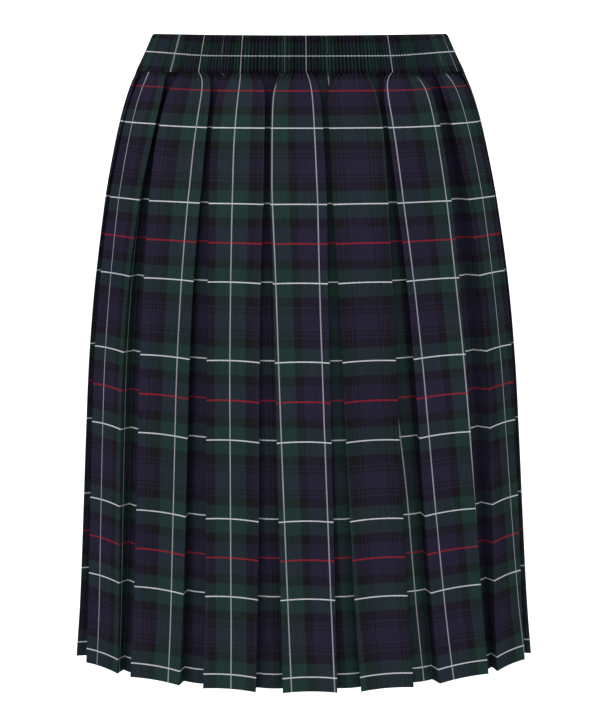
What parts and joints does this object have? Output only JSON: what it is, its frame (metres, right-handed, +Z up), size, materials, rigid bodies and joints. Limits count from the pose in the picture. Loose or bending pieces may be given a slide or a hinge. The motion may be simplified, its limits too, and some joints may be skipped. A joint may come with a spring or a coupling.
{
  "type": "box pleat skirt",
  "caption": "Worn knee-length box pleat skirt, an open cloth tube that widens from a gathered elastic waistband to the hem.",
  "frame": {"origin": "on the body's axis, half way up the waistband, where the wearer's waist holds the skirt", "axes": "+Z up along the body's axis, -Y towards the front, +X towards the wearer's left"},
  "size_m": [0.4139, 0.3091, 0.562],
  "materials": {
    "waistband_cloth": "matte twill drawn up over elastic",
    "tartan_cloth": "matte twill, woven check"
  },
  "bodies": {
    "root": {"waistband": "waistband_cloth", "skirt_front": "tartan_cloth", "skirt_back": "tartan_cloth"}
  },
  "joints": []
}
